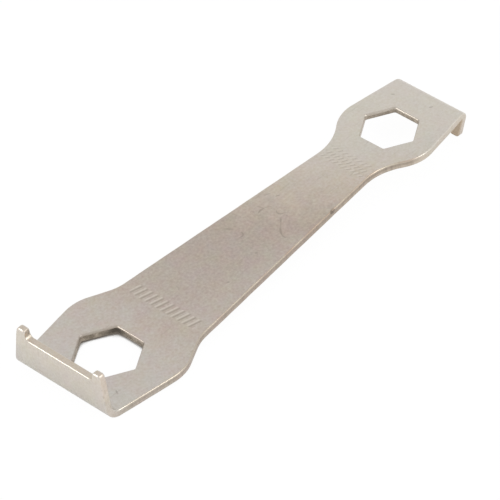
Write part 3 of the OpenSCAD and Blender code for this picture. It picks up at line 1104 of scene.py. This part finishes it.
# %% Tick press
def tick_press_group():
    """Sinks a row of ticks into the top face."""
    g = bpy.data.node_groups.new("press_ticks", "GeometryNodeTree")
    socket(g, "Geometry", "NodeSocketGeometry")
    for name in (*ROW_SIZES, "Depth", "Thickness"):
        socket(g, name, "NodeSocketFloat")
    socket(g, "Geometry", "NodeSocketGeometry", "OUTPUT")
    t = Tree(g)
    entry, leave = t.node("NodeGroupInput").outputs, t.node("NodeGroupOutput").inputs
    x, y, z = t.split(t.node("GeometryNodeInputPosition").outputs[0])
    on_top = t.calc("GREATER_THAN", z, t.calc("MULTIPLY", entry["Thickness"], 0.5))
    sink = t.node("ShaderNodeCombineXYZ")
    pressed = t.times(tick_mask(t, x, y, entry, unit=MM), on_top, entry["Depth"])
    t.link(t.calc("MULTIPLY", pressed, -1.0), sink.inputs[2])
    move = t.node("GeometryNodeSetPosition")
    t.link(entry["Geometry"], move.inputs["Geometry"])
    t.link(sink.outputs[0], move.inputs["Offset"])
    t.link(move.outputs[0], leave["Geometry"])
    return g


press_ticks = tick_press_group()
print("tick press:", press_ticks.name)

# %% [markdown]
# ## Folding
# A press brake wraps the sheet around a bar. The Simple Deform modifier can bend a mesh too, but it
# bends all of it, and a fold is short. In a real fold the middle of the sheet keeps its length, so
# a point's distance past the fold line becomes an angle around the bar, and the rest goes on
# straight. That is a rule, so Geometry Nodes can apply it: one group folds an end, and it is used
# twice.

# %% Fold group
def fold_group():
    """Wraps everything past a fold line around a bend of given radius and angle."""
    g = bpy.data.node_groups.new("fold_end", "GeometryNodeTree")
    socket(g, "Geometry", "NodeSocketGeometry")
    for name in ("Fold Line", "Outward", "Upward", "Outside Radius", "Angle", "Thickness"):
        socket(g, name, "NodeSocketFloat")
    socket(g, "Geometry", "NodeSocketGeometry", "OUTPUT")
    t = Tree(g)
    entry, leave, calc = t.node("NodeGroupInput").outputs, t.node("NodeGroupOutput").inputs, t.calc
    x, y, z = t.split(t.node("GeometryNodeInputPosition").outputs[0])
    line, outward, upward = (entry[n] for n in ("Fold Line", "Outward", "Upward"))
    radius, angle, thick = (entry[n] for n in ("Outside Radius", "Angle", "Thickness"))
    past = calc("MULTIPLY", calc("SUBTRACT", x, line), outward)
    middle = calc("SUBTRACT", radius, calc("MULTIPLY", thick, 0.5))
    swing = calc("MINIMUM", calc("DIVIDE", past, middle), angle)
    rest = calc("MAXIMUM", calc("SUBTRACT", past, calc("MULTIPLY", middle, angle)), 0.0)
    # Height over the face that ends up outside the bend: z when folding up, thickness - z when down
    under = calc("MULTIPLY", thick, calc("MULTIPLY", calc("SUBTRACT", 1.0, upward), 0.5))
    depth = calc("ADD", under, calc("MULTIPLY", z, upward))
    arm = calc("SUBTRACT", radius, depth)
    sine, cosine = calc("SINE", swing), calc("COSINE", swing)
    run = calc("ADD", calc("MULTIPLY", arm, sine), calc("MULTIPLY", rest, cosine))
    drop = calc("SUBTRACT", calc("MULTIPLY", arm, cosine), calc("MULTIPLY", rest, sine))
    axis_z = calc("ADD", under, calc("MULTIPLY", radius, upward))
    new_x = calc("ADD", line, calc("MULTIPLY", outward, run))
    new_z = calc("SUBTRACT", axis_z, calc("MULTIPLY", upward, drop))
    join = t.node("ShaderNodeCombineXYZ")
    for value, pin in zip((new_x, y, new_z), join.inputs):
        t.link(value, pin)
    move = t.node("GeometryNodeSetPosition")
    t.link(entry["Geometry"], move.inputs["Geometry"])
    t.link(calc("GREATER_THAN", past, 0.0), move.inputs["Selection"])
    t.link(join.outputs[0], move.inputs["Position"])
    t.link(move.outputs[0], leave["Geometry"])
    return g


fold_end = fold_group()
fold_inputs = [s.name for s in fold_end.interface.items_tree if s.in_out == "INPUT"]
print("fold group inputs:", fold_inputs)

# %% [markdown]
# ## The whole press
# One tree now strikes the ticks, folds both ends and hands out the two finishes. The points could
# be moved in the script as well, but a tree with named inputs can be tried out in Blender: change
# an angle in the modifier, and the lip moves. At the end the result is made a plain mesh, because
# the other programs that use the tool know nothing of modifiers.

# %% Press tree
FOLD_SETTINGS = ("Fold Line", "Outside Radius", "Angle")


def press_tree():
    """Presses the ticks, folds both ends, then gives faces and sheared walls their finishes."""
    g = bpy.data.node_groups.new("press_brake", "GeometryNodeTree")
    socket(g, "Geometry", "NodeSocketGeometry")
    for end in ("Wide", "Narrow"):
        for name in FOLD_SETTINGS:
            socket(g, f"{end} {name}", "NodeSocketFloat")
    socket(g, "Tick Depth", "NodeSocketFloat")
    socket(g, "Thickness", "NodeSocketFloat")
    socket(g, "Face Finish", "NodeSocketMaterial")
    socket(g, "Wall Finish", "NodeSocketMaterial")
    socket(g, "Geometry", "NodeSocketGeometry", "OUTPUT")
    t = Tree(g)
    entry, leave = t.node("NodeGroupInput").outputs, t.node("NodeGroupOutput").inputs
    flow = entry["Geometry"]
    for *row, _, _ in ROWS:
        strike = t.node("GeometryNodeGroup", node_tree=press_ticks)
        t.link(flow, strike.inputs["Geometry"])
        for name, value in zip(ROW_SIZES, row):
            t.put(value * MM, strike.inputs[name])
        t.link(entry["Tick Depth"], strike.inputs["Depth"])
        t.link(entry["Thickness"], strike.inputs["Thickness"])
        flow = strike.outputs["Geometry"]
    for end, outward, upward in (("Wide", -1.0, 1.0), ("Narrow", 1.0, -1.0)):
        fold = t.node("GeometryNodeGroup", node_tree=fold_end)
        t.link(flow, fold.inputs["Geometry"])
        for name in FOLD_SETTINGS:
            t.link(entry[f"{end} {name}"], fold.inputs[name])
        t.link(entry["Thickness"], fold.inputs["Thickness"])
        t.put(outward, fold.inputs["Outward"])
        t.put(upward, fold.inputs["Upward"])
        flow = fold.outputs["Geometry"]
    real = t.node("GeometryNodeRealizeInstances")
    t.link(flow, real.inputs[0])
    plate = t.node("GeometryNodeSetMaterial")
    t.link(real.outputs[0], plate.inputs["Geometry"])
    t.link(entry["Face Finish"], plate.inputs["Material"])
    wall = t.node("GeometryNodeInputNamedAttribute", data_type="FLOAT")
    wall.inputs["Name"].default_value = "wall"
    in_hole = t.node("FunctionNodeCompare", data_type="FLOAT", operation="GREATER_THAN")
    t.link(wall.outputs["Attribute"], in_hole.inputs["A"])
    t.put(0.9 * HOLE_WALL, in_hole.inputs["B"])
    edge = t.node("GeometryNodeSetMaterial")
    t.link(plate.outputs[0], edge.inputs["Geometry"])
    t.link(in_hole.outputs["Result"], edge.inputs["Selection"])
    t.link(entry["Wall Finish"], edge.inputs["Material"])
    t.link(edge.outputs[0], leave["Geometry"])
    return g


press = press_tree()
print("press tree:", press.name, len(press.nodes), "nodes")

# %% Fold the blank
settings = {
    "Wide Fold Line": -WIDE["fold"] * MM, "Wide Outside Radius": WIDE["outside"] * MM,
    "Wide Angle": math.radians(WIDE["angle"]),
    "Narrow Fold Line": NARROW["fold"] * MM, "Narrow Outside Radius": NARROW["outside"] * MM,
    "Narrow Angle": math.radians(NARROW["angle"]),
    "Tick Depth": TICK_DEPTH * MM, "Thickness": THICK * MM,
    "Face Finish": satin_nickel, "Wall Finish": sheared_edge,
}
modifier = blank.modifiers.new("press_brake", "NODES")
modifier.node_group = press
for item in press.interface.items_tree:
    if item.in_out == "INPUT" and item.name in settings:
        modifier[item.identifier] = settings[item.name]
bpy.context.view_layer.update()
evaluated = blank.evaluated_get(bpy.context.evaluated_depsgraph_get())
folded = bpy.data.meshes.new_from_object(evaluated)
blank.modifiers.remove(modifier)
blank.data = folded
folded.name = "peg_wrench"
corners = np.array([v.co for v in folded.vertices])
print("folded tool, mm:", (np.ptp(corners, axis=0) / MM).round(2),
      "materials", [m.name for m in folded.materials])

# %% [markdown]
# ## Handing the piece over
# The folded strip could be cut into the sections of the measured part, but each cut would show as a
# line, and the real tool has no seams. So the one mesh stands for all of them.

# %% Ride and replace
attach(blank, "root")
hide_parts(*NODES)
print(blank.name, "stands for", len(NODES), "sections")

# %% Finish
visual_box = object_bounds()
plain = lambda box: [[float(c) for c in corner] for corner in box]
{"cad": plain(cad_box), "visual": plain(visual_box)}
print("cad box", plain(cad_box), "visual box", plain(visual_box))
